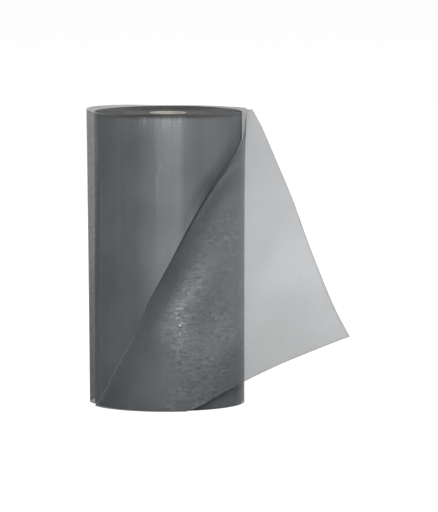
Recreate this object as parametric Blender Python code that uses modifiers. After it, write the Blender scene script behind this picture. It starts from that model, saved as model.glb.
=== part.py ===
"""Roll of aluminium insect screen standing on one end, in metres, +Z up, front towards -Y.

The screen is wound on a pale board tube. Its outermost turn has sprung loose: it leaves the
roll at the front left, runs round the back, comes forward on the right and is folded back on
itself along a slanting line, so that its last stretch stands out to the right as one free flap.
"""
import math

import bpy
import numpy as np


def table(columns, *rows):
    """Named columns of a table that is written one row at a time."""
    return dict(zip(columns, zip(*rows)))


# Driving dimensions
ROLL_WIDTH = 0.300
ROLL_RADIUS = 0.076
TUBE_RADIUS = 0.019
TUBE_WALL = 0.003
SHEET = 0.001
CLEARANCE = 0.0003
EDGE_BREAK = 0.0008

# Bearings are degrees round the roll's axis: 0 at the front, 90 at the right, -90 at the left
ROOT_BEARING = -66.0
ROOT_STEP = SHEET + CLEARANCE
ROOT_GAP = 0.5

# The outer turn, by degrees travelled from its root, going left and round the back: its distance
# from the axis at the base and at the top, how closely the wider top keeps to the top edge, and
# how far its selvage has slid up past the tight turns.
LOOSE_TURN = table(
    ("travelled", "at_base", "at_top", "flare", "rise"),
    (0.0, 0.0755, 0.0755, 1.0, 0.0),
    (7.0, 0.0757, 0.0760, 1.0, 0.0002),
    (16.0, 0.0772, 0.0786, 1.0, 0.0008),
    (26.0, 0.0792, 0.0830, 1.0, 0.0014),
    (48.0, 0.0802, 0.0868, 1.2, 0.0020),
    (75.0, 0.0808, 0.0880, 1.5, 0.0014),
    (114.0, 0.0805, 0.0840, 2.0, 0.0),
    (160.0, 0.0800, 0.0828, 3.0, 0.0006),
    (196.0, 0.0786, 0.0812, 6.0, 0.0020),
    (212.0, 0.0781, 0.0804, 8.0, 0.0020),
    (240.0, 0.0777, 0.0790, 9.0, 0.0018),
    (294.0, 0.0776, 0.0776, 9.0, 0.0010),
    (370.0, 0.0776, 0.0776, 9.0, 0.0010),
)

# The fold, by height above the base: its bearing round the roll and the radius of its bend
FOLD = table(
    ("height", "bearing", "bend"),
    (0.0, -66.0, 0.0022),
    (0.017, -53.5, 0.0024),
    (0.050, -36.5, 0.0027),
    (0.080, -23.5, 0.0030),
    (0.117, -10.5, 0.0032),
    (0.156, 4.5, 0.0034),
    (0.195, 19.5, 0.0034),
    (0.219, 31.0, 0.0032),
    (0.243, 47.0, 0.0030),
    (0.266, 68.0, 0.0026),
    (0.285, 81.0, 0.0022),
    (0.300, 89.0, 0.0017),
)

# The flap's two free edges, which meet at its corner, by height: how far right of the roll's axis
# each reaches, and how far in front of the axis it lies
CORNER_HEIGHT = 0.075
CUT_END = table(
    ("height", "reach", "forward"),
    (0.0, 0.0170, 0.0815),
    (0.007, 0.0300, 0.0785),
    (0.020, 0.0535, 0.0735),
    (0.033, 0.0790, 0.0680),
    (0.049, 0.1145, 0.0605),
    (0.0645, 0.1555, 0.0520),
    (0.070, 0.1710, 0.0490),
    (0.075, 0.1860, 0.0460),
)
SELVAGE = table(
    ("height", "reach", "forward"),
    (0.075, 0.1860, 0.0460),
    (0.111, 0.1674, 0.0389),
    (0.161, 0.1471, 0.0291),
    (0.211, 0.1285, 0.0192),
    (0.241, 0.1156, 0.0133),
    (0.271, 0.1026, 0.0074),
    (0.285, 0.0963, 0.0047),
    (0.295, 0.0910, 0.0030),
    (0.300, 0.0868, 0.0020),
)
FLAP_BILLOW = 0.0035
FLAP_RIPPLE = 0.0014
RIPPLE_LENGTH = 0.105
FLAP_LENGTH = 0.190
RISE_FADE = 3
SHEET_FOOT = 0.0006

# Slight flats in the winding, and turns that stand a little out of line on its top
LUMP_HEIGHT = 0.0005
LUMPS_ROUND = (3, 7)
TOP_BANDS = table(
    ("radius", "rise"),
    (0.0745, 0.0),
    (0.068, 0.0006),
    (0.060, -0.0003),
    (0.051, 0.0005),
    (0.042, -0.0005),
    (0.033, 0.0002),
    (0.025, -0.0006),
)

# Rows and columns of the surfaces
ROLL_COLUMNS = 72
TUBE_COLUMNS = 48
TURN_COLUMNS = 44
BEND_COLUMNS = 6
FLAP_COLUMNS = 11
ROWS_BELOW_CORNER = 6
ROWS_ABOVE_CORNER = 13
TOP_ROW_CROWDING = 1.35
WALL_ROWS = 5
SHARP_EDGE = 40.0


def glide(x, knots, values):
    """Smooth curve through a table that never swings past its values (monotone cubic)."""
    knots, values = np.asarray(knots, float), np.asarray(values, float)
    x = np.clip(x, knots[0], knots[-1])
    spans = np.diff(knots)
    slopes = np.diff(values) / spans
    same_way = slopes[:-1] * slopes[1:] > 0
    inner = np.zeros(len(slopes) - 1)
    inner[same_way] = 2 / (1 / slopes[:-1][same_way] + 1 / slopes[1:][same_way])
    tangents = np.concatenate([slopes[:1], inner, slopes[-1:]])
    i = np.clip(np.searchsorted(knots, x, side="right") - 1, 0, len(spans) - 1)
    t = (x - knots[i]) / spans[i]
    start = values[i] * (1 + 2 * t) * (1 - t) ** 2 + tangents[i] * spans[i] * t * (1 - t) ** 2
    end = values[i + 1] * (3 - 2 * t) * t ** 2 - tangents[i + 1] * spans[i] * t ** 2 * (1 - t)
    return start + end


def polar(bearing, radius):
    """Point round the axis: bearing 0 is the front (-Y), 90 the right (+X)."""
    angle = np.radians(bearing)
    return np.stack([radius * np.sin(angle), -radius * np.cos(angle)], axis=-1)


def wound_radius(travelled):
    """Outer radius of the tight turns: a spiral that gains one sheet in a turn, with slight flats."""
    share = travelled / 360
    fade = np.sin(np.pi * share) ** 2
    angle = np.radians(travelled)
    lumps = sum(np.sin(count * angle + count) for count in LUMPS_ROUND) / len(LUMPS_ROUND)
    return ROLL_RADIUS - ROOT_STEP * (1 - share) + LUMP_HEIGHT * fade * lumps


def loose_radius(travelled, height):
    """Distance of the outer turn from the axis, wider at the top than at the base."""
    low = glide(travelled, LOOSE_TURN["travelled"], LOOSE_TURN["at_base"])
    high = glide(travelled, LOOSE_TURN["travelled"], LOOSE_TURN["at_top"])
    flare = glide(travelled, LOOSE_TURN["travelled"], LOOSE_TURN["flare"])
    return low + (high - low) * (height / ROLL_WIDTH) ** flare


def touch_bearing(centre, radius, target):
    """Bearing, about the centre, where a line from the target touches the circle from in front."""
    offset = target - centre
    distance = math.hypot(*offset)
    towards = math.degrees(math.atan2(offset[0], -offset[1]))
    return towards - math.degrees(math.acos(min(1.0, radius / distance)))


def screen_section(height):
    """Points of the loose screen along one row: round the roll, the bend, then the flap."""
    fold_bearing = float(glide(height, FOLD["height"], FOLD["bearing"]))
    bend = float(glide(height, FOLD["height"], FOLD["bend"]))
    last_travelled = 360 + ROOT_BEARING - fold_bearing
    travelled = np.linspace(ROOT_GAP, last_travelled, TURN_COLUMNS, endpoint=False)
    turn = polar(ROOT_BEARING - travelled, loose_radius(travelled, height))

    inner_radius = float(loose_radius(last_travelled, height))
    lap_radius = inner_radius + 2 * bend
    bend_centre = polar(fold_bearing, inner_radius + bend)
    edge = CUT_END if height < CORNER_HEIGHT else SELVAGE
    reach = float(glide(height, edge["height"], edge["reach"]))
    forward = float(glide(height, edge["height"], edge["forward"]))
    tip = np.array([reach, -forward])

    lift_off = touch_bearing(np.zeros(2), lap_radius, tip)
    bend_end = fold_bearing
    if lift_off < fold_bearing:
        bend_end = touch_bearing(bend_centre, bend, tip)
        lift_off = fold_bearing
    bearings = np.linspace(fold_bearing - 180, bend_end, BEND_COLUMNS, endpoint=False)
    bend_line = bend_centre + polar(bearings, bend)

    # The flap lies round the roll up to the lift-off, then runs straight to its free edge
    lap = lap_radius * math.radians(lift_off - fold_bearing)
    start = polar(lift_off, lap_radius) if lap > 0 else bend_centre + polar(bend_end, bend)
    straight = math.hypot(*(tip - start))
    length = lap + straight
    share = np.linspace(0, 1, FLAP_COLUMNS + 1)
    along = length * share
    on_roll = polar(fold_bearing + np.degrees(along / lap_radius), lap_radius)
    heading = (tip - start) / straight
    in_air = start + np.outer(along - lap, heading)
    flap = np.where((along < lap)[:, None], on_roll, in_air)
    outwards = np.array([heading[1], -heading[0]])
    billow = FLAP_BILLOW * (length / FLAP_LENGTH) * np.sin(np.pi * share)
    ripple = FLAP_RIPPLE * math.sin(2 * np.pi * height / RIPPLE_LENGTH) * share ** 2 * length / FLAP_LENGTH
    flap = flap + np.outer(billow + ripple, outwards)
    line = np.concatenate([turn, bend_line, flap])

    # The selvage's slide fades out towards the base, and the flap slides as the fold does
    reached = np.concatenate([travelled, np.full(len(line) - len(travelled), last_travelled)])
    rise = glide(reached, LOOSE_TURN["travelled"], LOOSE_TURN["rise"]) * (height / ROLL_WIDTH) ** RISE_FADE
    return np.column_stack([line, height + rise])


def row_heights():
    """Heights of the rows: one row runs through the flap's corner, and the top rows lie closer."""
    below = np.linspace(SHEET_FOOT, CORNER_HEIGHT, ROWS_BELOW_CORNER, endpoint=False)
    share = np.linspace(0, 1, ROWS_ABOVE_CORNER + 1)
    above = ROLL_WIDTH - (ROLL_WIDTH - CORNER_HEIGHT) * (1 - share) ** TOP_ROW_CROWDING
    return np.concatenate([below, above])


def material(name, colour, roughness, metallic):
    """Principled material of one colour, roughness and metallic value."""
    made = bpy.data.materials.new(name)
    made.use_nodes = True
    shader = made.node_tree.nodes["Principled BSDF"]
    shader.inputs["Base Color"].default_value = (*colour, 1.0)
    shader.inputs["Roughness"].default_value = roughness
    shader.inputs["Metallic"].default_value = metallic
    return made


def grid_object(name, points, wrap_rows, wrap_columns, finish):
    """Object whose faces join neighbouring points of a rows by columns grid."""
    rows, columns = points.shape[:2]
    down = np.arange(rows if wrap_rows else rows - 1)
    across = np.arange(columns if wrap_columns else columns - 1)
    r, c = np.meshgrid(down, across, indexing="ij")
    r_next, c_next = (r + 1) % rows, (c + 1) % columns
    corners = [r * columns + c, r * columns + c_next, r_next * columns + c_next, r_next * columns + c]
    faces = np.stack(corners, axis=-1).reshape(-1, 4)
    mesh = bpy.data.meshes.new(name)
    mesh.from_pydata(points.reshape(-1, 3).tolist(), [], faces.tolist())
    mesh.materials.append(finish)
    mesh.shade_smooth()
    mesh.set_sharp_from_angle(angle=math.radians(SHARP_EDGE))
    made = bpy.data.objects.new(name, mesh)
    bpy.data.collections["screen_roll"].objects.link(made)
    return made


def wound_roll(finish):
    """The tight turns as one solid: a spiral wall, flat base, slightly uneven top and tube bore."""
    travelled = np.linspace(0, 360 - ROOT_GAP, ROLL_COLUMNS)
    outer = wound_radius(travelled)
    bore = np.full(ROLL_COLUMNS, TUBE_RADIUS + CLEARANCE)
    profile = [(outer - EDGE_BREAK, 0.0)]
    between = np.linspace(0, ROLL_WIDTH, WALL_ROWS + 1)[1:-1]
    profile += [(outer, height) for height in (EDGE_BREAK, *between, ROLL_WIDTH - EDGE_BREAK)]
    for radius, rise in zip(TOP_BANDS["radius"], TOP_BANDS["rise"]):
        profile.append((np.minimum(outer - EDGE_BREAK, radius), ROLL_WIDTH + rise))
    profile += [(bore, ROLL_WIDTH), (bore, 0.0)]
    points = np.empty((len(profile), ROLL_COLUMNS, 3))
    for row, (radius, height) in enumerate(profile):
        points[row, :, :2] = polar(ROOT_BEARING - travelled, radius)
        points[row, :, 2] = height
    return grid_object("wound_roll", points[::-1], True, True, finish)


def core_tube(finish):
    """Board tube with an open bore, turned from its wall's outline."""
    bearing = np.linspace(0, 360, TUBE_COLUMNS, endpoint=False)
    bore_radius = TUBE_RADIUS - TUBE_WALL
    outline = (
        (TUBE_RADIUS, 0.0),
        (TUBE_RADIUS, ROLL_WIDTH),
        (bore_radius, ROLL_WIDTH),
        (bore_radius, 0.0),
    )
    points = np.empty((len(outline), TUBE_COLUMNS, 3))
    for row, (radius, height) in enumerate(outline):
        points[row, :, :2] = polar(bearing, radius)
        points[row, :, 2] = height
    return grid_object("core_tube", points, True, True, finish)


def loose_screen(finish):
    """The sprung outer turn, its fold and its flap: one open surface given the sheet's thickness."""
    points = np.stack([screen_section(height) for height in row_heights()])
    made = grid_object("loose_screen", points, False, False, finish)
    thickness = made.modifiers.new("sheet", "SOLIDIFY")
    thickness.thickness = SHEET
    thickness.offset = 0.0
    thickness.use_even_offset = True
    return made


def stand_on_base(parts):
    """Set the middle of the part's footprint at the origin, with the base at height zero."""
    depsgraph = bpy.context.evaluated_depsgraph_get()
    boxes = [part.evaluated_get(depsgraph).bound_box for part in parts]
    corners = np.array([tuple(corner) for box in boxes for corner in box])
    middle = (corners.min(axis=0) + corners.max(axis=0)) / 2
    axis = bpy.data.objects.new("roll_axis", None)
    axis.location = (-middle[0], -middle[1], 0.0)
    bpy.data.collections["screen_roll"].objects.link(axis)
    for part in parts:
        part.parent = axis


def build():
    """Make the three pieces of the roll."""
    for old in list(bpy.data.objects):
        bpy.data.objects.remove(old, do_unlink=True)
    collection = bpy.data.collections.new("screen_roll")
    bpy.context.scene.collection.children.link(collection)
    wound_finish = material("wound_screen", (0.16, 0.17, 0.18), roughness=0.5, metallic=0.75)
    loose_finish = material("loose_screen", (0.30, 0.31, 0.32), roughness=0.45, metallic=0.8)
    board_finish = material("tube_board", (0.47, 0.46, 0.38), roughness=0.85, metallic=0.0)
    stand_on_base([wound_roll(wound_finish), core_tube(board_finish), loose_screen(loose_finish)])


build()
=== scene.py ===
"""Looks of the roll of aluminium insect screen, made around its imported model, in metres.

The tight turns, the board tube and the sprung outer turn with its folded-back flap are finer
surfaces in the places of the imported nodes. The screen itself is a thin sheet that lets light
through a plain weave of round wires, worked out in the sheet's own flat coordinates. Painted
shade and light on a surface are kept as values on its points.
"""
import math

import bmesh
import bpy
import numpy as np
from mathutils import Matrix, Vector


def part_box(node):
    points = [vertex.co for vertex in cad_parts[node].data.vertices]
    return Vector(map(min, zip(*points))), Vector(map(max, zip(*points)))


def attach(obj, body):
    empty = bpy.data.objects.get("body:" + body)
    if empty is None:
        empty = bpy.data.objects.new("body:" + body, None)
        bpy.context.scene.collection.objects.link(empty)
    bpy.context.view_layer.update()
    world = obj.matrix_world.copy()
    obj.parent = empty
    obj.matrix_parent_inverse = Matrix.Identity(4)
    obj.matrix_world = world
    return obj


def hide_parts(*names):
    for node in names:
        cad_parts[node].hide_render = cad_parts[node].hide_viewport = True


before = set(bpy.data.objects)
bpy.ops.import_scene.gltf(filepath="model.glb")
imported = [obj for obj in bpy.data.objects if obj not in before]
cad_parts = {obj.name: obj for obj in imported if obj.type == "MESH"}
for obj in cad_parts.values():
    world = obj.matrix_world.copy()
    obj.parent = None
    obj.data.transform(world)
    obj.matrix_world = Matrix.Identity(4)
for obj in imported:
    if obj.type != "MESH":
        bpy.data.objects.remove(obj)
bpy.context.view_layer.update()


def table(columns, *rows):
    """Named columns of a table that is written one row at a time. It is read by its first column."""
    return dict(zip(columns, zip(*rows)))


# The roll, as packed: its axis and width come from the board tube
tube_low, tube_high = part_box("core_tube")
AXIS = np.array([(tube_low.x + tube_high.x) / 2, (tube_low.y + tube_high.y) / 2])
ROLL_WIDTH = tube_high.z
ROLL_RADIUS = 0.076
TUBE_RADIUS = (tube_high.x - tube_low.x) / 2

# The cloth: round wires, a plain weave of 18 by 16 to the inch, two wires thick
WIRE = 0.00028
WARP_PITCH = 0.0254 / 18
WEFT_PITCH = 0.0254 / 16
SHEET = 2 * WIRE

# Bearings are degrees round the roll's axis: 0 at the front, 90 at the right, -90 at the left.
# The outer turn leaves the tight turns at the root, where their surface has a step
ROOT_BEARING = -66.0
ROOT_GAP = 0.5
ROOT_STEP = 0.0008

# The outer turn, by degrees travelled from its root, going left and round the back: its distance
# from the axis at the base and at the top, how closely the wider top keeps to the top edge, and
# how far its selvage has slid up past the tight turns
LOOSE_TURN = table(
    ("travelled", "at_base", "at_top", "flare", "rise"),
    (0.0, 0.0756, 0.0756, 1.0, 0.0),
    (7.0, 0.0758, 0.0761, 1.0, 0.0002),
    (16.0, 0.0780, 0.0786, 1.0, 0.0008),
    (26.0, 0.0804, 0.0830, 1.0, 0.0014),
    (48.0, 0.0808, 0.0868, 1.2, 0.0020),
    (75.0, 0.0808, 0.0880, 1.5, 0.0014),
    (114.0, 0.0805, 0.0840, 2.0, 0.0),
    (160.0, 0.0800, 0.0828, 3.0, 0.0006),
    (196.0, 0.0786, 0.0812, 6.0, 0.0020),
    (212.0, 0.0781, 0.0804, 8.0, 0.0020),
    (240.0, 0.0777, 0.0790, 9.0, 0.0018),
    (294.0, 0.0776, 0.0776, 9.0, 0.0010),
    (370.0, 0.0776, 0.0776, 9.0, 0.0010),
)
RISE_FADE = 3
SHEET_FOOT = 0.0006

# The fold, by height above the base: its bearing round the roll and the radius of its bend. Its
# nose is tighter. The flap leaves it steeply and lies over the turn with a little to spare
FOLD = table(
    ("height", "bearing", "bend"),
    (0.0, -66.0, 0.0022),
    (0.0145, -53.5, 0.0024),
    (0.0475, -36.5, 0.0027),
    (0.0775, -23.5, 0.0030),
    (0.1145, -10.5, 0.0032),
    (0.1535, 4.5, 0.0034),
    (0.1925, 19.5, 0.0034),
    (0.2165, 31.0, 0.0032),
    (0.2405, 47.0, 0.0030),
    (0.2635, 68.0, 0.0026),
    (0.2825, 81.0, 0.0022),
    (0.300, 89.0, 0.0017),
)
NOSE_SHARE = 0.7
NOSE_ANGLE = 22.0
LAP_SPARE = 0.001

# The flap's two free edges, which meet at its corner, by height: how far right of the roll's axis
# each reaches
CORNER_HEIGHT = 0.0725
CUT_END = table(
    ("height", "reach"),
    (0.0, 0.0170),
    (0.0045, 0.0300),
    (0.0175, 0.0535),
    (0.0305, 0.0790),
    (0.0465, 0.1145),
    (0.062, 0.1555),
    (0.0675, 0.1710),
    (0.0725, 0.1860),
)
SELVAGE = table(
    ("height", "reach"),
    (0.0725, 0.1860),
    (0.1085, 0.1674),
    (0.1585, 0.1471),
    (0.2085, 0.1285),
    (0.2385, 0.1156),
    (0.2685, 0.1026),
    (0.2825, 0.0963),
    (0.2925, 0.0910),
    (0.300, 0.0868),
)

# Where the flap leaves the roll, or its own fold, in a straight line, by height: the bearing there
# and how much of the belly it has
LEAVING = table(
    ("height", "bearing", "belly"),
    (0.0, 9.5, 0.5),
    (0.0175, 12.4, 0.7),
    (0.0725, 13.3, 1.0),
    (0.1085, 15.8, 1.0),
    (0.1585, 22.7, 0.7),
    (0.2085, 32.2, 0.4),
    (0.2385, 38.6, 0.2),
    (0.2595, 40.6, 0.1),
    (0.2825, 33.3, 0.0),
    (0.2925, 22.9, 0.0),
    (0.300, 13.5, 0.0),
)
FLAP_BILLOW = 0.0035
FLAP_RIPPLE = 0.0014
RIPPLE_LENGTH = 0.105
FLAP_LENGTH = 0.235

# The loose screen's grid. The flap's corner is a row of its own, and the fold's middle a column
SCREEN_ROWS = 120
CORNER_ROW = 30
TOP_GRADING = 1.35
TURN_COLUMNS = 200
BEND_COLUMNS = 14
FLAP_COLUMNS = 70
FLAP_GRADING = 1.4
FOLD_COLUMN = TURN_COLUMNS + BEND_COLUMNS // 2

# Wires at the sheet's edges: one along each selvage, and the warp's ends at the cut, which stand
# out by a seeded length and lean. The tilt is a direction that no wire runs in
SELVAGE_WIRE = 0.00044
WIRE_SIDES = 6
WIRE_TILT = (0.31, 0.95, 0.05)
WIRE_MERGE = 1e-7
CUT_WIRE = 0.00030
CUT_WIRE_ROOT = 0.001
CUT_WIRE_OUT = (0.0003, 0.0013)
CUT_WIRE_LEAN = 0.22
CUT_WIRE_SIDEWAYS = 0.5
CUT_WIRE_SPREAD = WARP_PITCH / 12
CUT_WIRE_SEED = 5

# The tight turns: their grid, rounded rim and gap to the tube, slight flats in the winding, a
# smooth wobble of the skin, and a shallow dish under the turns' own edges
WOUND_ROWS = 90
WOUND_COLUMNS = 360
WOUND_LIP = 0.0003
BORE_GAP = 0.0002
LUMP_HEIGHT = 0.0005
LUMPS_ROUND = (3, 7)
WOBBLE = 0.00012
WOBBLE_LENGTHS = (0.05, 0.09, 0.16, 0.23)
WOBBLE_SEED = 3
END_LEVEL = 0.0011
END_STEP = 0.0006
DISH = 0.0020
SHARP_ANGLE = 40

# The turns' edges on the roll's end: a ridge whose section is given in sheets across and depths
# down. Bands of turns stand a little out of line, by radius, and each turn by a seeded step
EDGE_COLUMNS = 96
EDGE_SECTION = ((-0.40, -1.0), (-0.34, -0.12), (0.0, 0.0), (0.34, -0.12), (0.40, -1.0))
EDGE_DEPTH = 0.0012
EDGE_ROW = 0.0003
INNERMOST_GAP = 0.0004
OUTERMOST_INSET = 0.00035
EDGE_LUMP_FADE = 4
EDGE_STEP = 0.00010
EDGE_STEP_SEED = 11
TOP_BANDS = table(
    ("radius", "rise"),
    (0.0193, -0.0026),
    (0.025, -0.0024),
    (0.033, -0.0017),
    (0.042, -0.0014),
    (0.051, -0.0003),
    (0.060, -0.0006),
    (0.068, 0.0006),
    (0.0745, 0.0),
    (0.0765, 0.0),
)

# The board tube, whose rim lies below the outer turns' edges
TUBE_WALL = 0.003
TUBE_SUNK = 0.0009
TUBE_COLUMNS = 96
LIP = 0.0005
LIP_STEPS = 5

# Painted shade and light on the flap's wires, by height: the painted shade at the fold, up to what
# distance from it, where the painted highlight crest is and how light it is there, how light over
# the right of the roll and how light on the free flap. The last column is the painted highlight
# that the fold's nose is lighter by, or painted shade where it is below nothing
FOLD_PAINTED_LIGHT = table(
    ("height", "at_fold", "dark_to", "crest_at", "crest", "far", "free", "nose"),
    (0.0, 0.80, 0.020, 0.120, 0.70, 0.86, 0.68, 1.2),
    (0.0255, 0.76, 0.014, 0.110, 0.80, 0.94, 0.62, 1.2),
    (0.0575, 0.68, 0.010, 0.078, 0.90, 0.94, 0.68, 0.9),
    (0.0825, 0.62, 0.012, 0.050, 1.04, 0.80, 0.70, 0.3),
    (0.1085, 0.58, 0.018, 0.036, 1.18, 0.64, 0.74, 0.0),
    (0.1495, 0.34, 0.010, 0.040, 1.02, 0.74, 0.92, 0.0),
    (0.1805, 0.30, 0.004, 0.030, 0.91, 0.82, 0.96, -0.02),
    (0.2115, 0.38, 0.003, 0.028, 0.92, 0.88, 0.97, -0.12),
    (0.2375, 0.52, 0.002, 0.036, 0.88, 0.92, 0.92, 0.02),
    (0.2635, 0.66, 0.002, 0.030, 0.84, 0.88, 0.84, 0.20),
    (0.2785, 0.62, 0.002, 0.024, 0.88, 0.90, 0.84, -0.10),
    (0.300, 0.55, 0.002, 0.018, 0.90, 0.92, 0.84, -0.20),
)
FOLD_NOSE = (0.0050, 0.0015)
FAR_FROM_FOLD = 0.066
LEAST_FALL = 0.02
FREE_FROM_FOLD = (0.098, 0.118)
TURN_LIGHT = 0.98

# Beside the fold, by height: how much painted shade darkens the tight turns and over what reach,
# how much painted light lifts the narrow line right at the fold, on them and on the bend's turn
# side, and how much painted light lifts the fold's tip on the flap's side. The painted shade is
# whole within this share of its reach
BESIDE_FOLD = table(
    ("height", "darker", "reach", "lift", "tip"),
    (0.0, 0.0, 0.012, 0.0, 0.0),
    (0.115, 0.0, 0.012, 0.0, 0.0),
    (0.140, 0.0, 0.012, 0.50, 0.7),
    (0.160, 0.0, 0.012, 0.9, 1.2),
    (0.180, 0.0, 0.012, 1.3, 1.7),
    (0.196, 0.04, 0.016, 1.6, 2.0),
    (0.214, 0.12, 0.022, 1.7, 1.3),
    (0.2345, 0.38, 0.025, 1.7, 0.3),
    (0.246, 0.33, 0.030, 1.8, 0.0),
    (0.258, 0.27, 0.036, 2.5, 0.0),
    (0.268, 0.20, 0.042, 2.8, 0.0),
    (0.2785, 0.15, 0.038, 2.6, 0.0),
    (0.289, 0.06, 0.034, 1.6, 0.0),
    (0.300, 0.0, 0.034, 0.6, 0.0),
)
BESIDE_FULL = 0.4
LIFTED = 0.0020
BEND_LIFTED = (0.0080, 0.0045)
TIP_LIFTED = (0.0024, 0.0006)

# A window is four places: where a shade begins, where it is whole, where it starts to fade and
# where it ends. On the loose turn: a painted shadow under the flap's cut end, a painted highlight
# along the right rim, and the strip at the left, painted darker below and lighter above, whose
# start depends on the height
CUT_SHADE = 0.52
CUT_SHADE_REACH = 0.0080
CUT_SHADE_BEARINGS = (0.0, 10.0, 66.0, 84.0)
RIM_LIGHT = 0.6
RIM_BEARINGS = (62.0, 78.0, 92.0, 125.0)
LEFT_LIGHT = table(
    ("height", "lighter"),
    (0.0, -0.30),
    (0.05, -0.22),
    (0.10, 0.0),
    (0.15, 0.42),
    (0.20, 0.60),
)
LEFT_HEIGHTS = (0.10, 0.26)
LEFT_STARTS = (-76.0, -66.0)
LEFT_EASE = 8.0
LEFT_FADE = (-98.0, -125.0)

# Painted specks of glint and moiré shade where the flap lies against the turn's wires
SPECKS_FROM_FOLD = (0.016, 0.032)
SPECKS_REACH = (-0.022, 0.012, 0.056, 0.078)
SPECKS_HEIGHT = (0.222, 0.180)

# On the tight turns: a painted highlight band that fades downwards, and a crinkled painted
# highlight line, by height: its bearing and how much lighter it is. Its width is in degrees
BAND_FADE = 0.12
BAND_BEARINGS = (-42.0, -8.0)
BAND_HEIGHTS = (0.25, 0.15)
CRINKLED_HIGHLIGHT = table(
    ("height", "bearing", "lighter"),
    (0.150, -9.8, 0.0),
    (0.185, -8.6, 0.08),
    (0.205, -7.4, 0.16),
    (0.215, -8.0, 0.14),
    (0.225, -7.3, 0.26),
    (0.235, -7.9, 0.38),
    (0.243, -6.9, 0.12),
    (0.249, -5.3, 0.34),
    (0.255, -6.2, 0.05),
    (0.270, -7.6, 0.14),
    (0.285, -5.6, 0.08),
    (0.300, -5.0, 0.0),
)
CRINKLED_HIGHLIGHT_WIDTH = 0.8

# Under the tight turns' upper rim: short seeded streaks of painted highlight on the band's
# bearings, and a painted shade line at the rim itself
FRAYED_BEARINGS = (-30.0, -18.0, 11.0, 16.0)
FRAYED_DEPTHS = (0.006, 0.028)
FRAYED_HIGHLIGHT = 0.14
FRAYED_STREAKS = 0.18
FRAYED_SEED = 7
RIM_SHADE = 0.5
RIM_REACH = (0.0012, 0.0003)

# On the roll's end: painted shade on a ring of turns at the front left, and on the last turns
SHADED_RING = (0.060, 0.066, 0.0735, 0.0755)
SHADED_RING_BEARINGS = (-56.0, -44.0, -16.0, -8.0)
RING_SHADE = 0.28
LAST_TURNS = (0.0730, 0.0742)
LAST_DARKER = 0.5

# Painted highlight and shade on the tight turns in upright bands: how light each bearing is painted
PAINTED_BANDS = (
    (-100.0, 0.92), (-88.0, 1.90), (-81.0, 1.70), (-78.0, 0.94), (-66.5, 0.94),
    (-65.0, 0.90), (-63.9, 0.90), (-63.7, 1.10), (-62.9, 1.10), (-62.7, 0.92),
    (-46.0, 0.91), (-43.0, 0.97), (-30.0, 0.97), (-25.0, 1.06), (-17.5, 1.15), (-10.0, 1.07),
    (-7.0, 1.04), (-4.5, 0.95), (-1.5, 0.88), (1.5, 0.86), (5.0, 0.88), (8.0, 0.94), (11.5, 0.92),
    (13.0, 0.80), (18.0, 0.85), (28.0, 0.90), (47.0, 1.06), (57.0, 1.20), (71.0, 1.45), (100.0, 0.9),
)

# The weave as the finishes draw it: its wires' width, how far they wander over what patch, and the
# least square of a wire normal's upright part
DRAWN_WIRE = 0.00030
WANDER_SPAN = 0.002
WANDER_PATCH = 0.012
FLATTEST = 0.04

# Noises are given by scale, detail, roughness and curl, as far as they differ from the usual, and
# tints by the stops of a colour ramp. Each roughness is its start and what the pattern adds.
# One layer of screen: how much it covers on a wire, in a gap and more towards the base
SCREEN_METAL = 0.85
SCREEN_ROUGHNESS = (0.62, -0.15)
SCREEN_TINTS = [
    (0.38, (0.124, 0.133, 0.140)),
    (0.52, (0.161, 0.173, 0.183)),
    (0.64, (0.215, 0.228, 0.24)),
]
SCREEN_PATCH = 18.0
GLINT_NOISE = (420.0, 3.0, 0.7)
GLINT_SHARE = 0.7
WIRE_COVER = 0.085
GAP_COVER = 0.406
LOW_COVER = 0.12
WIRE_RELIEF = (0.45, 0.70)

# Painted specks of glint and moiré shade, drawn out in height: their patches, and how light
# and how dark they are
SPECK_DRAW = (0.6, 0.6, 1.4)
SPECK_NOISE = (300.0, 1.0, 0.5, 1.6)
SPECK_PATCH = 34.0
SPECK_PATCHES = (0.36, 0.56, 0.3)
LIGHT_SPECKS = (0.53, 0.63, 0.0, 0.40)
DARK_SPECKS = (0.37, 0.47, 0.34, 0.0)

# Screen over screen: how light the painted shade leaves the second layer, the third and the gaps,
# how the two layers are shifted against the first, as share and start along and across, and the
# upright streaks
WOUND_METAL = 0.8
WOUND_ROUGHNESS = (0.3, 0.2)
WOUND_TINTS = [(0.3, (0.13, 0.138, 0.145)), (0.7, (0.17, 0.179, 0.187))]
WOUND_PATCH = 14.0
WOUND_RELIEF = (0.3, 0.7)
DEPTH_SHADES = (0.86, 0.74, 0.62)
DRIFT_PATCH = 9.0
DRIFT = 3.0
LAYER_SHIFTS = (((1.0, 0.0), (0.7, 0.0)), ((1.9, 0.4), (1.3, 0.2)))
STREAK_DRAW = 0.03
STREAK_NOISE = (110.0, 3.0, 0.6)
STREAK_DEPTH = 0.12

# The turns' edges, bare wire, and paper board with its spiral ply
EDGE_METAL = 0.7
EDGE_ROUGHNESS = (0.46, 0.2)
EDGE_TINTS = [(0.2, (0.013, 0.013, 0.013)), (0.9, (0.053, 0.053, 0.052))]
EDGE_PATCH = 40.0
EDGE_GLINT = 0.7
WIRE_ROUGHNESS = (0.3, 0.2)
WIRE_TINTS = [(0.3, (0.27, 0.28, 0.29)), (0.7, (0.42, 0.43, 0.44))]
WIRE_PATCH = 300.0
BOARD_ROUGHNESS = (0.75, 0.2)
BOARD_TINTS = [(0.2, (0.125, 0.125, 0.096)), (0.5, (0.18, 0.18, 0.15)), (0.8, (0.225, 0.225, 0.19))]
BOARD_PATCH = 60.0
FIBRE_NOISE = (700.0, 4.0, 0.7)
FIBRE_SHARE = 0.6
FIBRE_BUMP = 0.3
FIBRE_HEIGHT = 0.0002
PLY_WIDTH = 0.075
PLY_SEAM = 0.006
SEAM_DARKER = 0.35

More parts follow.
